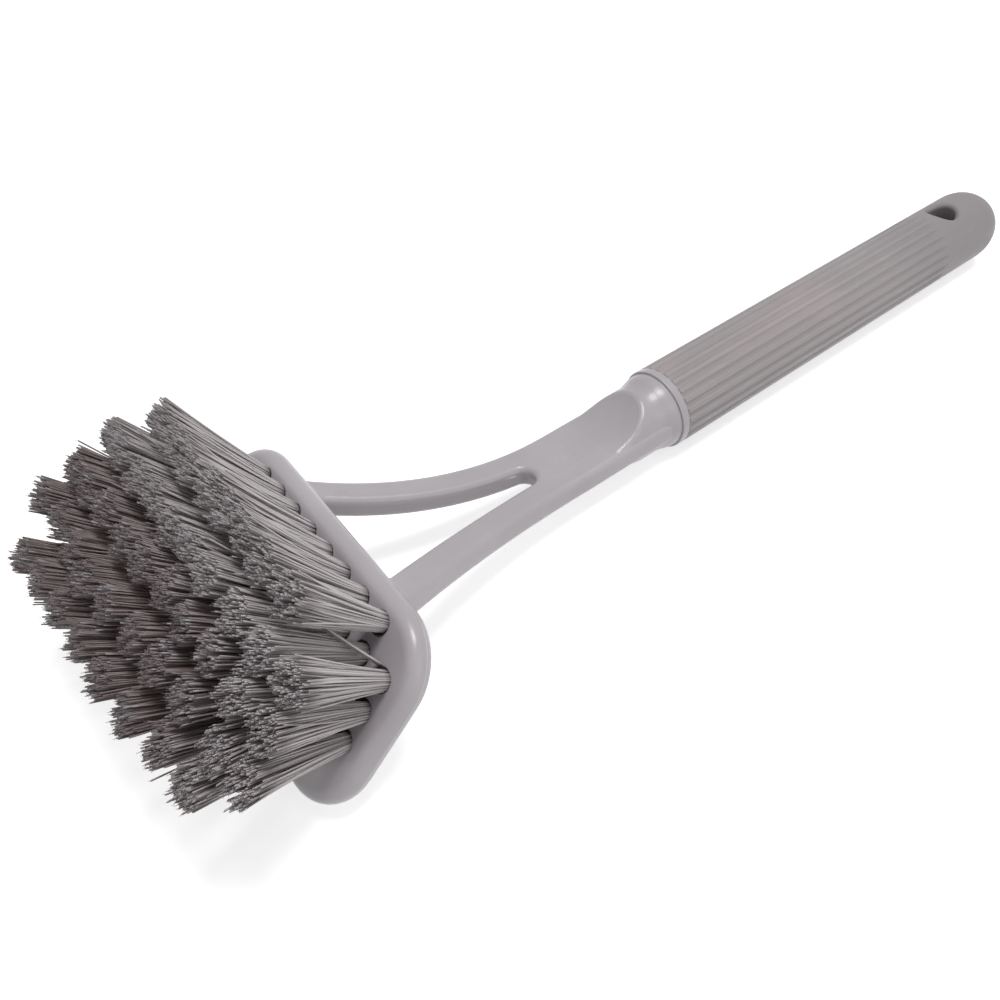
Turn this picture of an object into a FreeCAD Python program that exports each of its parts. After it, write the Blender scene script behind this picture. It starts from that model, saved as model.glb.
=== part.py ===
import FreeCAD, Part
import math
import os

from FreeCAD import Placement, Rotation, Vector

# A dish brush with a forked neck, lying on its back with the bristles up, in millimetres.
# X runs from the tail to the head, Y across the brush and Z up. The origin is on the axis
# of the hanging hole, at the height of the handle's own axis.

# Grip: a round sleeve with a domed tail, grooved along its length.
grip_d = 21.5
grip_len = 116.0          # from the hanging hole's axis to the seam at the collar
tail_len = 21.5           # from the hanging hole's axis to the end of the dome
tail_round_r = 9.0
mouth_round_r = 0.5
hang_hole_d = 8.0
hang_hole_round_r = 1.2
groove_count = 24
groove_r = 1.3
groove_depth = 0.42
groove_stop = 14.0        # from the hanging hole's axis to where the grooves begin to run out
groove_lift_r = 40.0      # radius of the run-out

# Tang: the part of the body that the sleeve is moulded over.
tang_d = 13.0
tang_len = 92.0
tang_round_r = 2.0
tang_clearance = 0.1
tang_end_gap = 0.5

# Collar: a thin rim against the grip and a rounded shoulder, on the handle's axis.
rim_len = 2.2
rim_round_r = 0.3
shoulder_d = 20.4
shoulder_len = 6.3        # from the rim to where the shoulder has run down to the root
root_d = 18.3             # round root of the neck, scooped out above and below
root_gap = 1.0            # from the end of the root to the start of the scoops
root_edge_r = 1.5
scoop_r = 22.0
scoop_start = 25.0        # from the seam to where the scoops leave the flat neck
scoop_sink = 0.05         # how far the scoops' lowest lines lie inside the flat neck

# Neck and arms: one flat strap that forks and bends up to the head.
neck_w = 19.5
neck_t = 5.8
arm_w = 7.5
fork_r = 124.0            # radius of the arms' outer edges, seen from above
fork_start = 33.0         # from the seam to where the arms begin to spread
slot_start = 44.5         # from the seam to the root of the slot between the arms
bend_r = 142.0            # radius of the bend towards the bristle side
bend_start = 30.0         # from the seam to where the bend begins
arm_round_r = 1.8
arm_foot_r = 2.0          # blend where an arm meets the head

# Head plate: a rounded oblong that leans forward, with its own axes. The face's middle is
# the middle of the tuft field.
head_x = 105.5            # from the seam to the middle of the face
head_z = 8.9
head_tilt_deg = 42.0      # between the bristles and straight up
plate_l = 80.2            # across the brush
plate_w = 42.6            # along the lean
plate_t = 6.0
plate_corner_r = 13.0
plate_face_r = 2.8
plate_back_r = 3.0

# Tufts: bundles of filaments, folded over a flat wire and driven into blind holes.
row_counts = (8, 10, 10, 10, 8)
side_margin = 7.25        # from the plate's ends to the middles of the nearest tufts
back_margin = 5.3         # from the plate's edge by the neck to the first row
front_margin = 9.3        # from the last row to the plate's front edge
tuft_hole_d = 4.2
tuft_hole_depth = 4.4
tuft_clearance = 0.05
tuft_gap = 0.5            # between neighbouring tufts at their tips
first_row_len = 27.0      # free length of the row by the neck
last_row_len = 33.5       # free length of the front row
first_row_spread_share = 0.16  # how far the tips stand out sideways, as a share of a tuft's place
last_row_spread_share = 0.4
spread_along_share = 0.3
tip_lean = 1.2            # the tips' set towards the neck

# Flat wire that holds each tuft at the bottom of its hole.
wire_len = 4.8
wire_w = 2.0
wire_t = 0.4
wire_lift = 0.8           # filaments folded under the wire

cut_overrun = 5.0
edge_tolerance = 0.2      # for picking out edges by where they lie

x_axis = Vector(1, 0, 0)
y_axis = Vector(0, 1, 0)
z_axis = Vector(0, 0, 1)
grip_r = grip_d / 2
seam_x = grip_len
neck_half_w = neck_w / 2
tuft_pitch = (plate_l - 2 * side_margin) / (max(row_counts) - 1)
row_pitch = (plate_w - back_margin - front_margin) / (len(row_counts) - 1)
plate_shift = (front_margin - back_margin) / 2
head_place = Placement(Vector(seam_x + head_x, 0, head_z), Rotation(y_axis, head_tilt_deg))

# The arms end where their bend meets the middle of the plate's thickness.
head_tilt = math.radians(head_tilt_deg)
plate_depth = (math.sin(head_tilt) * (head_x - bend_start) + math.cos(head_tilt) * (head_z - bend_r)
               - plate_t / 2)
arm_reach = bend_start + bend_r * math.sin(math.acos(-plate_depth / bend_r) - head_tilt)


def arc(start, middle, end):
    return Part.Arc(start, middle, end).toShape()


def line(start, end):
    return Part.makeLine(start, end)


def face_of(edges):
    return Part.Face(Part.Wire(edges))


def on_circle(centre, radius, angle_deg, first, second):
    """A point on a circle in the plane of two axes."""
    angle = math.radians(angle_deg)
    return centre + first * (radius * math.cos(angle)) + second * (radius * math.sin(angle))


def ends_of(edge):
    return edge.valueAt(edge.FirstParameter), edge.valueAt(edge.LastParameter)


def edges_where(shape, test):
    return [edge for edge in shape.Edges if test(edge)]


def spun(edges):
    """A solid turned about the handle's axis from a closed outline above it."""
    return face_of(edges).revolve(Vector(), x_axis, 360)


def make_groove_tool():
    """One round cutter along the top of the grip that lifts out of the surface near the tail."""
    height = grip_r + groove_r - groove_depth
    start = Vector(seam_x + cut_overrun, 0, height)
    turn = Vector(groove_stop, 0, height)
    centre = turn + z_axis * groove_lift_r
    lift_deg = math.degrees(math.acos(1 - (groove_depth + groove_r) / groove_lift_r))
    middle = on_circle(centre, groove_lift_r, -90 - lift_deg / 2, x_axis, z_axis)
    end = on_circle(centre, groove_lift_r, -90 - lift_deg, x_axis, z_axis)
    path = Part.Wire([line(start, turn), arc(turn, middle, end)])
    section = Part.Wire(Part.makeCircle(groove_r, start, x_axis))
    return path.makePipeShell([section], True, False)


def make_grip():
    """The sleeve: a domed round bar with a socket for the tang, a hanging hole and grooves."""
    tail = Vector(-tail_len, 0, 0)
    dome_start = Vector(tail_round_r - tail_len, 0, grip_r)
    dome_centre = dome_start - z_axis * tail_round_r
    dome_middle = on_circle(dome_centre, tail_round_r, 135, x_axis, z_axis)
    dome_end = dome_centre - x_axis * tail_round_r
    top = Vector(seam_x, 0, grip_r)
    bar = spun([line(tail, dome_end), arc(dome_end, dome_middle, dome_start), line(dome_start, top),
                line(top, Vector(seam_x, 0, 0)), line(Vector(seam_x, 0, 0), tail)])
    hole_len = grip_d + 2 * cut_overrun
    hole = Part.makeCylinder(hang_hole_d / 2, hole_len, Vector(0, 0, -hole_len / 2), z_axis)
    bar = bar.cut(hole)
    rims = edges_where(bar, lambda edge: abs(edge.CenterOfMass.z) > hang_hole_d
                       and edge.BoundBox.XMin > -hang_hole_d and edge.BoundBox.XMax < hang_hole_d)
    bar = bar.makeFillet(hang_hole_round_r, rims)
    mouth = edges_where(bar, lambda edge: edge.BoundBox.XLength < edge_tolerance
                        and edge.CenterOfMass.x > seam_x - edge_tolerance)
    bar = bar.makeFillet(mouth_round_r, mouth)
    groove = make_groove_tool()
    grooves = [groove.rotated(Vector(), x_axis, 360 * index / groove_count) for index in range(groove_count)]
    bar = bar.cut(grooves)
    socket_len = tang_len + tang_end_gap + cut_overrun
    socket_r = tang_d / 2 + tang_clearance
    socket = Part.makeCylinder(socket_r, socket_len, Vector(seam_x + cut_overrun, 0, 0), -x_axis)
    return bar.cut(socket)


def make_collar():
    """The rim against the grip, and the tang behind it."""
    rim = Part.makeCylinder(grip_r, rim_len, Vector(seam_x, 0, 0), x_axis)
    rim = rim.makeFillet(rim_round_r, edges_where(rim, lambda edge: edge.BoundBox.XLength < edge_tolerance))
    tang = Part.makeCylinder(tang_d / 2, tang_len, Vector(seam_x, 0, 0), -x_axis)
    tang_end = edges_where(tang, lambda edge: edge.BoundBox.XLength < edge_tolerance
                           and edge.CenterOfMass.x < seam_x - tang_len / 2)
    tang = tang.makeFillet(tang_round_r, tang_end)
    return rim.fuse(tang)


def make_shoulder():
    """The shoulder in front of the rim, which runs down in an S to the neck's round root."""
    shoulder_r = shoulder_d / 2
    root_r = root_d / 2
    drop = shoulder_r - root_r
    curve_r = ((shoulder_len / 2) ** 2 + (drop / 2) ** 2) / drop
    curve_deg = math.degrees(math.asin(shoulder_len / 2 / curve_r))
    back = Vector(seam_x + rim_len / 2, 0, 0)
    top = Vector(seam_x + rim_len, 0, shoulder_r)
    low = Vector(seam_x + rim_len + shoulder_len, 0, root_r)
    end = Vector(seam_x + scoop_start - root_gap, 0, root_r)
    upper = top - z_axis * curve_r
    lower = low + z_axis * curve_r
    middle = on_circle(upper, curve_r, 90 - curve_deg, x_axis, z_axis)
    upper_middle = on_circle(upper, curve_r, 90 - curve_deg / 2, x_axis, z_axis)
    lower_middle = on_circle(lower, curve_r, -90 - curve_deg / 2, x_axis, z_axis)
    bar = spun([line(back, back + z_axis * shoulder_r), line(back + z_axis * shoulder_r, top),
                arc(top, upper_middle, middle), arc(middle, lower_middle, low), line(low, end),
                line(end, end - z_axis * root_r), line(end - z_axis * root_r, back)])
    root = bar.rotated(Vector(), x_axis, 90).common(make_scooped_slab()).Solids[0]
    ridges = edges_where(root, lambda edge: edge.BoundBox.XLength > scoop_start / 2
                         and edge.BoundBox.YLength > edge_tolerance)
    return root.makeFillet(root_edge_r, ridges)


def make_scooped_slab():
    """What the scoops leave: a block as wide as the neck, hollowed above and below along an arc."""
    front = Vector(seam_x + scoop_start, 0, neck_t / 2 - scoop_sink)
    centre = front + z_axis * scoop_r
    rise_deg = math.degrees(math.acos(1 - (shoulder_d / 2 + cut_overrun - front.z) / scoop_r))
    middle = on_circle(centre, scoop_r, -90 - rise_deg / 2, x_axis, z_axis)
    high = on_circle(centre, scoop_r, -90 - rise_deg, x_axis, z_axis)
    back = Vector(seam_x, 0, high.z)

    def below(point):
        return Vector(point.x, 0, -point.z)

    side = face_of([line(back, high), arc(high, middle, front), line(front, below(front)),
                    arc(below(front), below(middle), below(high)), line(below(high), below(back)),
                    line(below(back), back)])
    return side.translated(y_axis * -grip_r).extrude(y_axis * grip_d)


def fork_edge(side, radius, start_x, end_x):
    """One edge of an arm, seen from above: an arc about the fork's centre on that side."""
    centre = Vector(seam_x + fork_start, side * (neck_half_w + fork_r), 0)

    def at(x):
        reach = x - fork_start
        return Vector(centre.x + reach, centre.y - side * math.sqrt(radius ** 2 - reach ** 2), 0)

    return arc(at(start_x), at((start_x + end_x) / 2), at(end_x))


def make_strap():
    """The flat neck and its two arms: the outline from above within the bend seen from the side."""
    back_x = seam_x + rim_len
    left = fork_edge(1, fork_r, fork_start, arm_reach)
    right = fork_edge(-1, fork_r, fork_start, arm_reach)
    left_start, left_end = ends_of(left)
    right_start, right_end = ends_of(right)
    left_back = Vector(back_x, neck_half_w, 0)
    right_back = Vector(back_x, -neck_half_w, 0)
    outline = face_of([line(right_back, right_start), right, line(right_end, left_end), left,
                       line(left_start, left_back), line(left_back, right_back)])
    slot_end = arm_reach + cut_overrun
    inner_r = fork_r + arm_w
    slot_left = fork_edge(1, inner_r, slot_start, slot_end)
    slot_right = fork_edge(-1, inner_r, slot_start, slot_end)
    root_left, far_left = ends_of(slot_left)
    root_right, far_right = ends_of(slot_right)
    tip = Vector(root_left.x - root_left.y, 0, 0)
    slot = face_of([arc(root_left, tip, root_right), slot_right, line(far_right, far_left), slot_left])
    height = bend_r
    drop = Vector(0, 0, -height / 2)
    flat = outline.cut(slot).translated(drop).extrude(z_axis * height)
    strap = flat.common(make_bend()).Solids[0]
    long_edges = edges_where(strap, lambda edge: edge.BoundBox.XLength > edge_tolerance)
    return strap.makeFillet(arm_round_r, long_edges)


def make_bend():
    """A slab as thick as the strap that runs straight and then bends up along an arc."""
    centre = Vector(seam_x + bend_start, -plate_l / 2, bend_r)
    reach_deg = math.degrees(math.asin((arm_reach + cut_overrun - bend_start) / bend_r))
    low_r = bend_r + neck_t / 2
    high_r = bend_r - neck_t / 2
    low = [on_circle(centre, low_r, angle - 90, x_axis, z_axis) for angle in (0, reach_deg / 2, reach_deg)]
    high = [on_circle(centre, high_r, angle - 90, x_axis, z_axis) for angle in (0, reach_deg / 2, reach_deg)]
    back = Vector(rim_len - bend_start, 0, 0)
    side = face_of([line(low[0] + back, low[0]), arc(*low), line(low[2], high[2]),
                    arc(high[2], high[1], high[0]), line(high[0], high[0] + back),
                    line(high[0] + back, low[0] + back)])
    return side.extrude(y_axis * plate_l)


def make_plate():
    """The head plate in its own axes, with its face at height zero."""
    corner = Vector(plate_shift - plate_w / 2, -plate_l / 2, -plate_t)
    plate = Part.makeBox(plate_w, plate_l, plate_t, corner)
    upright = edges_where(plate, lambda edge: edge.BoundBox.ZLength > plate_t / 2)
    plate = plate.makeFillet(plate_corner_r, upright)
    face_edges = edges_where(plate, lambda edge: edge.BoundBox.ZMin > -plate_face_r)
    plate = plate.makeFillet(plate_face_r, face_edges)
    back_edges = edges_where(plate, lambda edge: edge.BoundBox.ZMax < -plate_t + plate_face_r)
    return plate.makeFillet(plate_back_r, back_edges)


def tuft_places():
    """Each tuft's row, number in the row, and the middle of its hole on the face."""
    middle_row = (len(row_counts) - 1) / 2
    for row, count in enumerate(row_counts):
        for number in range(count):
            along = (row - middle_row) * row_pitch
            across = (number - (count - 1) / 2) * tuft_pitch
            yield row, number, Vector(along, across, 0)


def make_wire_at(place):
    low = place - Vector(wire_t / 2, wire_len / 2, tuft_hole_depth - wire_lift)
    return Part.makeBox(wire_t, wire_len, wire_w, low)


def make_tuft_at(row, place):
    """A bundle: a root that fills the hole and a free end that flares and leans outward."""
    row_share = row / (len(row_counts) - 1)
    free_len = first_row_len + (last_row_len - first_row_len) * row_share
    spread_share = first_row_spread_share + (last_row_spread_share - first_row_spread_share) * row_share
    lean = Vector(place.x * spread_along_share - tip_lean, place.y * spread_share, 0)
    tip = place + lean + z_axis * math.sqrt(free_len ** 2 - lean.Length ** 2)
    tip_room = min(tuft_pitch * (1 + first_row_spread_share), row_pitch * (1 + spread_along_share))
    tip_d = tip_room - tuft_gap
    root_r = tuft_hole_d / 2 - tuft_clearance
    rings = [(place - z_axis * tuft_hole_depth, root_r), (place, root_r), (tip, tip_d / 2)]
    wires = [Part.Wire(Part.makeCircle(radius, centre, z_axis)) for centre, radius in rings]
    return Part.makeLoft(wires, True, True).cut(make_wire_at(place))


def is_foot_edge(edge):
    """Whether an edge runs round the foot of an arm, on the back of the head plate."""
    to_head = head_place.inverse()
    ends = [to_head.multVec(vertex.Point) for vertex in edge.Vertexes]
    across = abs(to_head.multVec(edge.CenterOfMass).y)
    foot_half_w = neck_half_w + fork_r - math.sqrt(fork_r ** 2 - (arm_reach - fork_start) ** 2)
    on_back = all(abs(end.z + plate_t) < edge_tolerance for end in ends)
    return on_back and across > arm_w and all(abs(end.y) < foot_half_w for end in ends)


def make_body():
    """Head plate, arms, neck, collar and tang, moulded in one piece, with the tuft holes."""
    neck = make_strap().fuse([make_collar(), make_shoulder()]).removeSplitter()
    body = neck.fuse(on_head(make_plate())).removeSplitter()
    body = body.makeFillet(arm_foot_r, edges_where(body, is_foot_edge))
    tools = []
    for row, number, place in tuft_places():
        tools.append(Part.makeCylinder(tuft_hole_d / 2, tuft_hole_depth + cut_overrun,
                                       place + z_axis * cut_overrun, -z_axis))
        tools.append(make_wire_at(place))
    return body.cut(on_head(Part.makeCompound(tools)))


def on_head(shape):
    shape.Placement = head_place
    return shape


os.makedirs("parts", exist_ok=True)
nodes = {"body": make_body(), "grip": make_grip()}
nodes["staples"] = on_head(Part.makeCompound([make_wire_at(place) for row, number, place in tuft_places()]))
for row, number, place in tuft_places():
    nodes[f"tuft_row{row + 1}_{number + 1:02d}"] = on_head(make_tuft_at(row, place))
for name, shape in nodes.items():
    shape.exportStep(f"parts/{name}.step")
    print(name, len(shape.Solids), shape.isValid(), round(shape.Volume, 1))
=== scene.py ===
import math
import random

import bmesh
import bpy
from mathutils import Euler, Matrix, Vector


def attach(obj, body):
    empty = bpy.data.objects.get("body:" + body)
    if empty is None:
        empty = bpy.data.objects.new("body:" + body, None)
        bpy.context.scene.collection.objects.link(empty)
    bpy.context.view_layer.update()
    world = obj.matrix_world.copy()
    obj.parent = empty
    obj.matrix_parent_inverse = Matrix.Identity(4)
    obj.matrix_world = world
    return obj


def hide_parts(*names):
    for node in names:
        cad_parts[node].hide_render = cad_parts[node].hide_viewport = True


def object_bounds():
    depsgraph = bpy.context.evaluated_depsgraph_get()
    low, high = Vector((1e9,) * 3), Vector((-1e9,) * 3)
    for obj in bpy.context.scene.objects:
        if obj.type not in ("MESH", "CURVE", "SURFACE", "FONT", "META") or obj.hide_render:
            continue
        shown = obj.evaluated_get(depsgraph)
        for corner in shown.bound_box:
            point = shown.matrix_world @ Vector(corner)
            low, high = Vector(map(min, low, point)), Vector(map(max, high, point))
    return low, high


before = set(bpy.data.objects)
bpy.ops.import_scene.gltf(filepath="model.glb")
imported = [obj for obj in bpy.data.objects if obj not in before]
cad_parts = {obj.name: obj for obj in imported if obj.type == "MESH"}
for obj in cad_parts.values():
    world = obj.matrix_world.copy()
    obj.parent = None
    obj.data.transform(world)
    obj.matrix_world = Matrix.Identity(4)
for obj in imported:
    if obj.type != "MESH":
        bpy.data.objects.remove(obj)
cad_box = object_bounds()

# Body: one polypropylene moulding with the head plate, the forked flat neck and the collar.
# Its surface is smooth with a soft gloss and small flow and handling marks, and a fine
# parting ridge runs round the edge of the plate, painted lighter as a highlight along that edge.


class Wire:
    """A socket of a material's nodes: sums on it add Math nodes, and node adds any other one."""

    def __init__(self, socket):
        self.socket = socket

    def node(self, kind, settings=None, inputs=None, output=0):
        made = self.socket.id_data.nodes.new(kind)
        for name, value in (settings or {}).items():
            setattr(made, name, value)
        for name, value in (inputs or {}).items():
            if isinstance(value, Wire):
                self.socket.id_data.links.new(value.socket, made.inputs[name])
            else:
                made.inputs[name].default_value = value
        return Wire(made.outputs[output])

    def math(self, operation, first, second):
        return self.node("ShaderNodeMath", {"operation": operation}, {0: first, 1: second})

    def __add__(self, other):
        return self.math("ADD", self, other)

    def __radd__(self, other):
        return self.math("ADD", other, self)

    def __sub__(self, other):
        return self.math("SUBTRACT", self, other)

    def __rsub__(self, other):
        return self.math("SUBTRACT", other, self)

    def __mul__(self, other):
        return self.math("MULTIPLY", self, other)

    def __rmul__(self, other):
        return self.math("MULTIPLY", other, self)

    def along(self, direction, start=(0, 0, 0)):
        """How far a place lies from start, measured along a direction."""
        offset = self.node("ShaderNodeVectorMath", {"operation": "SUBTRACT"}, {0: self, 1: start})
        return self.node("ShaderNodeVectorMath", {"operation": "DOT_PRODUCT"},
                         {0: offset, 1: direction}, "Value")

    def size(self):
        return self.node("ShaderNodeMath", {"operation": "ABSOLUTE"}, {0: self})

    def rise(self, low, high):
        """Nought below low, one above high, and a smooth rise between them."""
        return self.node("ShaderNodeMapRange", {"interpolation_type": "SMOOTHSTEP"},
                         {"Value": self, "From Min": low, "From Max": high})

    def noise(self, scale, detail=3.0, roughness=0.5, stretch=(1, 1, 1)):
        place = self.node("ShaderNodeMapping", None, {"Vector": self, "Scale": stretch})
        return self.node("ShaderNodeTexNoise", None,
                         {"Vector": place, "Scale": scale, "Detail": detail, "Roughness": roughness})

    def mix(self, first, second):
        """The first colour where this is nought, and the second where it is one."""
        colours = {"Factor": self, 6: first, 7: second}
        return self.node("ShaderNodeMix", {"data_type": "RGBA"}, colours, 2)


def shade(level):
    """A linear colour from the eye's levels, each from 0 to 255."""
    return tuple(((part / 255 + 0.055) / 1.055) ** 2.4 for part in level)


def start_finish(name):
    """A new material, its surface shader, and a wire that reads the place on the object."""
    finish = bpy.data.materials.new(name)
    finish.use_nodes = True
    surface = finish.node_tree.nodes["Principled BSDF"]
    return finish, surface, Wire(surface.outputs[0]).node("ShaderNodeTexCoord", output="Object")


def feed(surface, inputs):
    """Links or sets the sockets of a surface shader."""
    for name, value in inputs.items():
        if isinstance(value, Wire):
            surface.id_data.links.new(value.socket, surface.inputs[name])
        else:
            surface.inputs[name].default_value = value


def colour(level):
    return (*shade(level), 1)


head_middle = Vector((0.2215, 0, 0.0089))
head_lean = math.radians(42)
head_turn = Matrix.Rotation(head_lean, 3, "Y")
head_up = head_turn @ Vector((0, 0, 1))
head_along = head_turn @ Vector((1, 0, 0))
parting_drop = 0.0031
parting_width = 0.00003
parting_fade = 0.00013
plate_start = 0.2005
plate_full = 0.204
row_pitch = 0.0070
tuft_pitch = 0.0073
hole_radius = 0.0021
hole_floor = 0.0046
rim_start = 0.0003
rim_end = 0.0005
all_rows_along = 0.0172
all_rows_across = 0.0290
long_rows_along = 0.0103
long_rows_across = 0.0360
mask_edge = 0.0001

body_finish, surface, place = start_finish("moulded_body")
from_parting = place.along(head_up, head_middle - head_up * parting_drop).size()
on_plate = place.along((1, 0, 0)).rise(plate_start, plate_full)
parting_ridge_and_highlight = (1 - from_parting.rise(parting_width, parting_fade)) * on_plate
cloud = place.noise(38, 3, 0.55)
flow = place.noise(120, 4, 0.6, (0.35, 1, 1))
specks = place.noise(2600, 2, 0.6).rise(0.66, 0.74)
scuffs = place.noise(420, 5, 0.7, (0.16, 1, 0.6)).rise(0.6, 0.74)
tint = cloud.rise(0.35, 0.68).mix(colour((180, 174, 179)), colour((187, 182, 187)))
tint = (specks * 0.16).mix(tint, colour((150, 140, 141)))
tint = (scuffs * 0.08).mix(tint, colour((205, 200, 200)))
# The parting ridge is painted lighter: a painted highlight where the plate's edge catches light.
tint = (parting_ridge_and_highlight * 0.55).mix(tint, colour((226, 222, 220)))
depth = place.along(head_up, head_middle)
from_row = place.along(head_along, head_middle).size()
from_middle = place.along((0, 1, 0)).size()
nearest_row = place.node("ShaderNodeMath", {"operation": "ROUND"}, {0: from_row * (1 / row_pitch)})
past_tuft = place.node("ShaderNodeMath", {"operation": "FRACT"}, {0: from_middle * (1 / tuft_pitch)})
off_row = from_row - nearest_row * row_pitch
off_tuft = (past_tuft - 0.5) * tuft_pitch
from_hole = off_row * off_row + off_tuft * off_tuft
rim = 1 - from_hole.rise((hole_radius + rim_start) ** 2, (hole_radius + rim_end) ** 2)


def keep_within(distance, limit):
    return 1 - distance.rise(limit, limit + mask_edge)


all_rows = keep_within(from_row, all_rows_along) * keep_within(from_middle, all_rows_across)
long_rows = keep_within(from_row, long_rows_along) * keep_within(from_middle, long_rows_across)
bored = place.math("MAXIMUM", all_rows, long_rows)
# Painted shade: inside the tuft holes the plastic is painted nearly black, as the shade in these recesses.
hole_shade = bored * rim * depth.rise(-hole_floor - mask_edge * 2, -hole_floor)
tint = (hole_shade * 0.95).mix(tint, colour((46, 38, 42)))
relief = flow * 0.5 + place.noise(1500, 3, 0.6) * 0.3 + parting_ridge_and_highlight * 0.8
dents = place.node("ShaderNodeBump", None, {"Strength": 0.10, "Distance": 0.0005, "Height": relief})
feed(surface, {"Base Color": tint, "Roughness": 0.24 + flow * 0.1 + scuffs * 0.05, "Normal": dents,
               "IOR": 1.49})
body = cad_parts["body"]
body.data.materials.clear()
body.data.materials.append(body_finish)

# Grip: a second moulding over the body's tang, in the same grey but matt and a little pinker.
# Fine round grooves run along it and fade out before the hanging hole, and they are painted darker as shade
# in them.
# The plain end with the hole is painted darker, as shade where the light falls off.

groove_bottom = 0.01034
groove_top = 0.01074
tail_shade_end = 0.045

grip_finish, surface, place = start_finish("matt_grip")
across = place.node("ShaderNodeVectorMath", {"operation": "MULTIPLY"}, {0: place, 1: (0, 1, 1)})
radius = place.node("ShaderNodeVectorMath", {"operation": "LENGTH"}, {0: across}, "Value")
crest = radius.rise(groove_bottom, groove_top)
tail_shade = 1 - place.along((1, 0, 0)).rise(0.0, tail_shade_end)
bloom = place.noise(55, 3, 0.6, (0.5, 1, 1)).rise(0.5, 0.72)
grain = place.noise(2400, 2, 0.5)
rubbed = place.noise(260, 4, 0.65, (0.25, 1, 1))
# Painted shade: the grooves get a darker colour than the crests.
tint = crest.mix(colour((155, 149, 150)), colour((162, 156, 157)))
tint = (bloom * 0.35).mix(tint, colour((181, 167, 170)))
tint = (rubbed.rise(0.52, 0.74) * crest * 0.3).mix(tint, colour((190, 186, 186)))
# Painted shade: the tail end with the hole is darkened where the light falls off.
tint = (tail_shade * 0.6).mix(tint, colour((136, 131, 132)))
relief = grain * 0.6 + rubbed * 0.4
dents = place.node("ShaderNodeBump", None, {"Strength": 0.16, "Distance": 0.0004, "Height": relief})
feed(surface, {"Base Color": tint, "Roughness": 0.6 - rubbed * 0.14, "Normal": dents, "IOR": 1.49})
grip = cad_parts["grip"]
grip.data.materials.clear()
grip.data.materials.append(grip_finish)

# Anchor wires: short pieces of flat steel wire, driven across each fold of filaments and into
# the walls of the blind holes. They stay where the part has them and get a drawn-metal finish.

wire_finish, surface, place = start_finish("flat_wire")
drawn = place.noise(900, 3, 0.5, (1, 0.08, 1))
feed(surface, {"Base Color": drawn.mix(colour((168, 166, 162)), colour((204, 202, 198))), "Metallic": 1.0,
               "Roughness": 0.26 + drawn * 0.18})
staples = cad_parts["staples"]
staples.data.materials.clear()
staples.data.materials.append(wire_finish)

# Tufts: bundles of drawn grey filaments, folded over the wires and pressed into the holes. They
# stand close at the root and fan out, and their cut tips are ragged and gathered. The tips are
# painted darker as shade among them, and the roots are painted dark as shade in the holes.
# The inner rows are painted darker brown, as shade between the tufts, and a few filaments are bent out of
# their tufts.

row_counts = (8, 10, 10, 10, 8)
first_row_length = 0.0270
last_row_length = 0.0335
first_row_spread = 0.13
last_row_spread = 0.35
spread_along = 0.30
tip_lean = 0.0012
worn_skew = 0.1
worn_short = 0.15
hole_depth = 0.0035
root_radius = 0.00164
tip_radius = 0.0039
filament_count = 185
filament_radius = 0.00019
fan_power = 1.15
gather_power = 5
bow_power = 2
clump_count = 15
clump_pull = 0.4
clump_sway = 0.0006
tuft_sway = 0.0005
length_sway = 0.0004
slant_sway = 0.08
edge_drop = 0.0008
common_bow = 0.0003
strong_bow = 0.0013
strong_bow_share = 0.06
glint_share = 0.13
split_radius = 0.00007
split_length = 0.0008
split_splay = 0.25
split_seat = 0.2
stray_girth = 1.6
stray_worn = 0.6
golden_turn = math.pi * (3 - math.sqrt(5))
inner_shade_start = -0.012
inner_shade_full = 0.0
shade_fade_start = 0.016
shade_fade_full = 0.036

bristle_finish, surface, place = start_finish("bristle")
tone = place.node("ShaderNodeAttribute", {"attribute_name": "tone"}, None, "Fac")
reach = place.node("ShaderNodeAttribute", {"attribute_name": "reach"}, None, "Fac")
glint = place.node("ShaderNodeAttribute", {"attribute_name": "glint"}, None, "Fac")
tint = tone.mix(colour((186, 180, 180)), colour((220, 215, 215)))
# Painted shade: the filaments are darkened from the hole floor to just above the plate, as shade in the
# holes.
tint = reach.rise(0.06, 0.2).mix(colour((104, 90, 90)), tint)
# Painted shade: the inner rows are darkened to brown, less so towards the lit outer tufts at the sides.
inner_shade = place.along(head_along, head_middle).rise(inner_shade_start, inner_shade_full)
inner_shade = inner_shade * (1 - place.along((0, 1, 0)).rise(shade_fade_start, shade_fade_full) * 0.8)
tint = (inner_shade * reach.rise(0.1, 0.4) * 0.68).mix(tint, colour((126, 102, 98)))
# Painted shade: the tips are darkened, more so in the inner rows.
tint = (reach.rise(0.78, 0.98) * (0.5 + inner_shade * 0.25)).mix(tint, colour((94, 77, 78)))
# Painted highlight: some filament ends get a bright glint colour.
tint = (reach.rise(0.955, 0.985) * glint).mix(tint, colour((164, 162, 168)))
feed(surface, {"Base Color": tint, "Roughness": 0.42 - reach.rise(0.93, 1.0) * 0.15, "IOR": 1.53})


def make_straight(name, sides, radius, end_radius, cuts):
    """One straight filament from height nought to one, with rings to bend it at."""
    mesh = bmesh.new()
    bmesh.ops.create_cone(mesh, cap_ends=True, segments=sides, radius1=radius, radius2=end_radius,
                          depth=1)
    bmesh.ops.translate(mesh, vec=(0, 0, 0.5), verts=mesh.verts)
    if cuts:
        lengthwise = [edge for edge in mesh.edges
                      if abs(edge.verts[0].co.z - edge.verts[1].co.z) > 0.5]
        bmesh.ops.subdivide_edges(mesh, edges=lengthwise, cuts=cuts)
    straight = bpy.data.meshes.new(name)
    mesh.to_mesh(straight)
    mesh.free()
    return straight


filament = make_straight("filament", sides=4, radius=filament_radius, end_radius=filament_radius, cuts=4)
split_end = make_straight("split_end", sides=3, radius=split_radius, end_radius=split_radius * 0.6, cuts=0)


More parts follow.
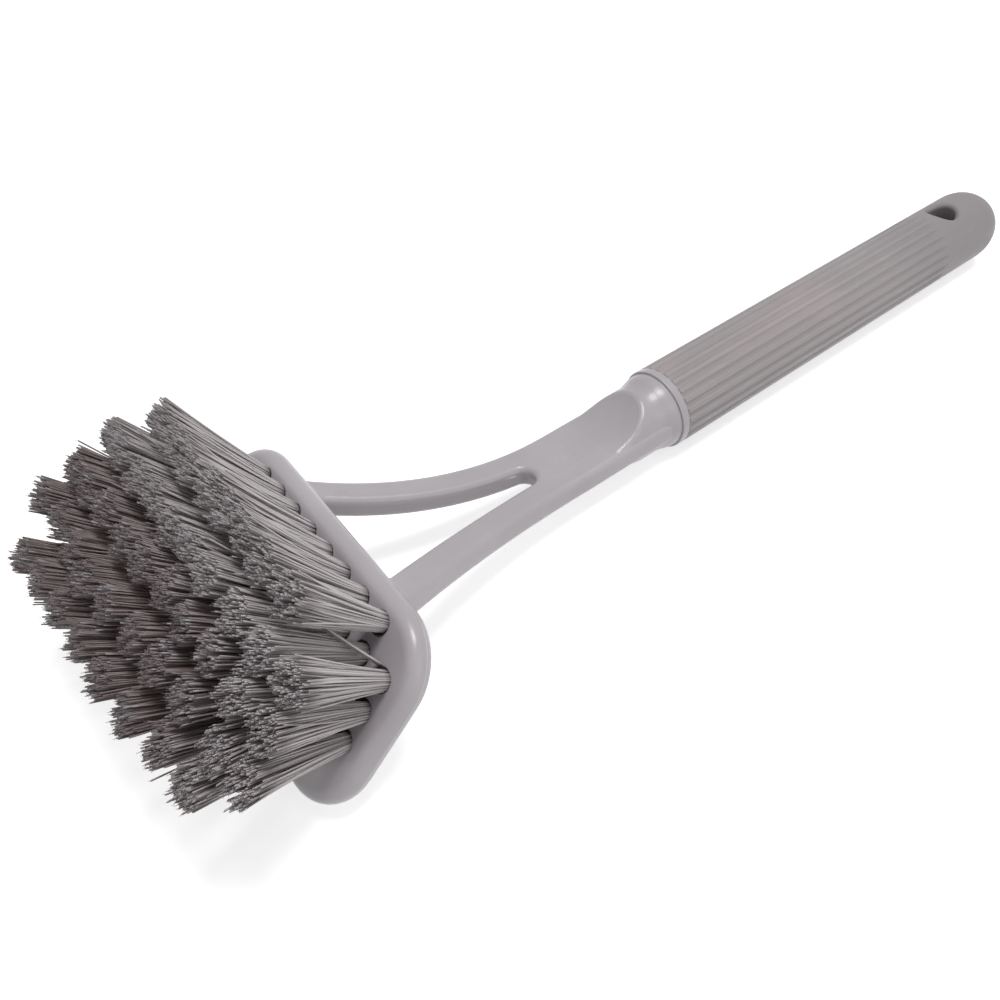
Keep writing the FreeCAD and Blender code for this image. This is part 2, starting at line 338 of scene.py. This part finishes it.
def lay_filament(mesh, layers, root, tip, bow, gather, chance, girth=1, worn=1):
    """Adds a filament from hole to tip, bowed to one side and gathered near its tip, maybe split."""
    pale = chance.betavariate(2.2, 2.2)
    bright = 0.85 if chance.random() < glint_share else 0.2 * chance.random()
    start = root - Vector((0, 0, hole_depth))
    spread = Vector((tip.x - root.x, tip.y - root.y, 0))
    before = len(mesh.verts)
    mesh.from_mesh(filament)
    mesh.verts.ensure_lookup_table()
    for vert in mesh.verts[before:]:
        share = vert.co.z
        ring = Vector((vert.co.x, vert.co.y, 0)) * girth
        for layer, value in zip(layers, (pale, share * worn, bright)):
            vert[layer] = value
        line = start.lerp(Vector((root.x, root.y, tip.z)), share) + spread * share ** fan_power
        vert.co = line + bow * share ** bow_power + gather * share ** gather_power + ring
    rise = Vector((0, 0, tip.z - start.z))
    heading = (rise + spread * fan_power + bow * bow_power + gather * gather_power).normalized()
    for number in range(chance.choice((0, 1, 1))):
        splay = Vector([chance.gauss(0, split_splay) for axis in range(3)])
        turn = (heading + splay).to_track_quat("Z", "Y").to_matrix()
        length = split_length * chance.uniform(0.5, 1.3)
        before = len(mesh.verts)
        mesh.from_mesh(split_end)
        mesh.verts.ensure_lookup_table()
        for vert in mesh.verts[before:]:
            for layer, value in zip(layers, (pale, 1, bright)):
                vert[layer] = value
            place_on_split = Vector((vert.co.x, vert.co.y, (vert.co.z - split_seat) * length))
            vert.co = tip + bow + gather + turn @ place_on_split


def make_tuft(name, root_place, tip_place, seed, strays):
    """A tuft of filaments from one hole, gathered in clumps at the tips, with its bent filaments."""
    chance = random.Random(seed)
    mesh = bmesh.new()
    layers = [mesh.verts.layers.float.new(kind) for kind in ("tone", "reach", "glint")]
    lean = Vector((chance.gauss(0, tuft_sway), chance.gauss(0, tuft_sway), chance.gauss(0, length_sway)))
    slant = Vector((chance.gauss(0, slant_sway), chance.gauss(0, slant_sway), 0))
    clumps = []
    for number in range(clump_count):
        angle = number * golden_turn + chance.uniform(-0.4, 0.4)
        reach_out = tip_radius * math.sqrt((number + 0.5) / clump_count)
        height = chance.gauss(0, clump_sway)
        clumps.append(Vector((math.cos(angle) * reach_out, math.sin(angle) * reach_out, height)))
    for number in range(filament_count):
        share = ((number + 0.5) / filament_count) ** 0.45
        angle = number * golden_turn + chance.uniform(-0.2, 0.2)
        out = Vector((math.cos(angle), math.sin(angle), 0))
        fan = out * (tip_radius * share * chance.uniform(0.88, 1.12))
        clump = min(clumps, key=lambda middle: (middle.xy - fan.xy).length)
        gather = (clump - fan) * clump_pull
        fan.z += chance.gauss(0, length_sway) + fan.dot(slant) - edge_drop * share ** 4
        sway = strong_bow if chance.random() < strong_bow_share else common_bow
        bow = Vector((chance.gauss(0, sway), chance.gauss(0, sway), 0))
        root = root_place + out * (root_radius * share)
        lay_filament(mesh, layers, root, tip_place + lean + fan, bow, gather, chance)
    for root_offset, tip_offset in strays:
        root = root_place + Vector(root_offset)
        tip = root_place + Vector(tip_offset)
        lay_filament(mesh, layers, root, tip, Vector(), Vector(), chance, stray_girth, stray_worn)
    on_head = Matrix.Translation(head_middle) @ head_turn.to_4x4()
    bmesh.ops.transform(mesh, matrix=on_head, verts=mesh.verts)
    data = bpy.data.meshes.new(name)
    mesh.to_mesh(data)
    mesh.free()
    data.shade_smooth()
    data.materials.append(bristle_finish)
    tuft = bpy.data.objects.new(name, data)
    bpy.context.scene.collection.objects.link(tuft)
    return tuft


bent_out = {"row2_10": [((-0.0012, -0.0012, 0), (-0.0064, -0.0066, 0.0147)),
                        ((-0.0009, -0.0013, 0), (-0.0059, -0.0070, 0.0143)),
                        ((-0.0013, -0.0009, 0), (-0.0068, -0.0061, 0.0150))],
            "row3_08": [((-0.0010, 0.0005, 0), (-0.0020, 0.0045, 0.0300))]}
for row, count in enumerate(row_counts):
    row_share = row / (len(row_counts) - 1)
    length = first_row_length + (last_row_length - first_row_length) * row_share
    spread = first_row_spread + (last_row_spread - first_row_spread) * row_share
    for number in range(count):
        from_centre = ((row - (len(row_counts) - 1) / 2) * row_pitch, (number - (count - 1) / 2) * tuft_pitch)
        root_place = Vector((*from_centre, 0))
        set_out = Vector((root_place.x * spread_along - tip_lean, root_place.y * spread, 0))
        tip_place = root_place + set_out + Vector((0, 0, math.sqrt(length ** 2 - set_out.length ** 2)))
        tip_place -= Vector((worn_skew, 0, worn_short)) * root_place.y * row_share
        spot = f"row{row + 1}_{number + 1:02d}"
        strays = bent_out.get(spot, ())
        tuft = make_tuft(f"bristles_{spot}", root_place, tip_place, 100 * row + number, strays)
        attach(tuft, "root")
        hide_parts(f"tuft_{spot}")

# Stage: a plain pale floor under the brush, which lies on its grip and the head's lower edge.
# Seen by the camera or in a reflection it is nearly white, and it lights the brush as a pale floor.

floor_reach = 4
floor_gap = 0.0001


def find_seen(wire):
    """One on rays from the camera and on those mirrored or let through, and nought on lighting rays."""
    camera_ray, glossy_ray, clear_ray = [wire.node("ShaderNodeLightPath", output=f"Is {kind} Ray")
                                         for kind in ("Camera", "Glossy", "Transmission")]
    return wire.math("MAXIMUM", camera_ray, wire.math("MAXIMUM", glossy_ray, clear_ray))


floor_finish, surface, place = start_finish("pale_floor")
feed(surface, {"Base Color": (0.9, 0.9, 0.9, 1), "Roughness": 0.9, "Specular IOR Level": 0.1,
               "Emission Color": find_seen(place).mix((0, 0, 0, 1), (0.62, 0.62, 0.62, 1)),
               "Emission Strength": 1.0})
mesh = bmesh.new()
bmesh.ops.create_grid(mesh, x_segments=1, y_segments=1, size=floor_reach)
bmesh.ops.translate(mesh, vec=(0.1, 0, cad_box[0][2] - floor_gap), verts=mesh.verts)
data = bpy.data.meshes.new("floor")
mesh.to_mesh(data)
mesh.free()
floor = bpy.data.objects.new("floor", data)
data.materials.append(floor_finish)
bpy.context.scene.collection.objects.link(floor)

# Light: an even pale room, one broad soft lamp overhead and a weaker one from the camera's side.
# The room looks white behind the brush, and lights it more weakly.

room_light = 0.31

world = bpy.data.worlds.new("pale_room")
bpy.context.scene.world = world
world.use_nodes = True
sky = world.node_tree.nodes["Background"]
seen = find_seen(Wire(sky.outputs[0]))
feed(sky, {"Color": (1, 1, 1, 1), "Strength": seen * (1 - room_light) + room_light})


def add_lamp(name, location, target, size, power):
    """A round soft lamp, turned to its target."""
    lamp = bpy.data.lights.new(name, "AREA")
    lamp.shape = "DISK"
    lamp.size = size
    lamp.energy = power
    holder = bpy.data.objects.new(name, lamp)
    holder.location = location
    holder.rotation_euler = (Vector(location) - Vector(target)).to_track_quat("Z", "Y").to_euler()
    bpy.context.scene.collection.objects.link(holder)


add_lamp("overhead_lamp", location=(-0.02, 0.12, 0.85), target=(0.12, 0, 0), size=0.3, power=3.9)
add_lamp("side_lamp", location=(-0.1, 0.9, 0.5), target=(0.18, 0, 0), size=0.6, power=1.0)

# Camera: it stands close to the head, on its near side, and looks down along the handle.
# Its place, turn and lens were solved from points of the brush in the photo.

camera_turn = (44.596, 6.015, 143.720)

camera_data = bpy.data.cameras.new("camera")
camera_data.sensor_width = 36
camera_data.lens = 28.665
camera_data.clip_start = 0.005
camera = bpy.data.objects.new("camera", camera_data)
camera.location = (0.23414, 0.11438, 0.13345)
camera.rotation_euler = Euler([math.radians(turn) for turn in camera_turn], "XYZ")
bpy.context.scene.collection.objects.link(camera)
bpy.context.scene.camera = camera
bpy.context.scene.view_settings.view_transform = "Standard"
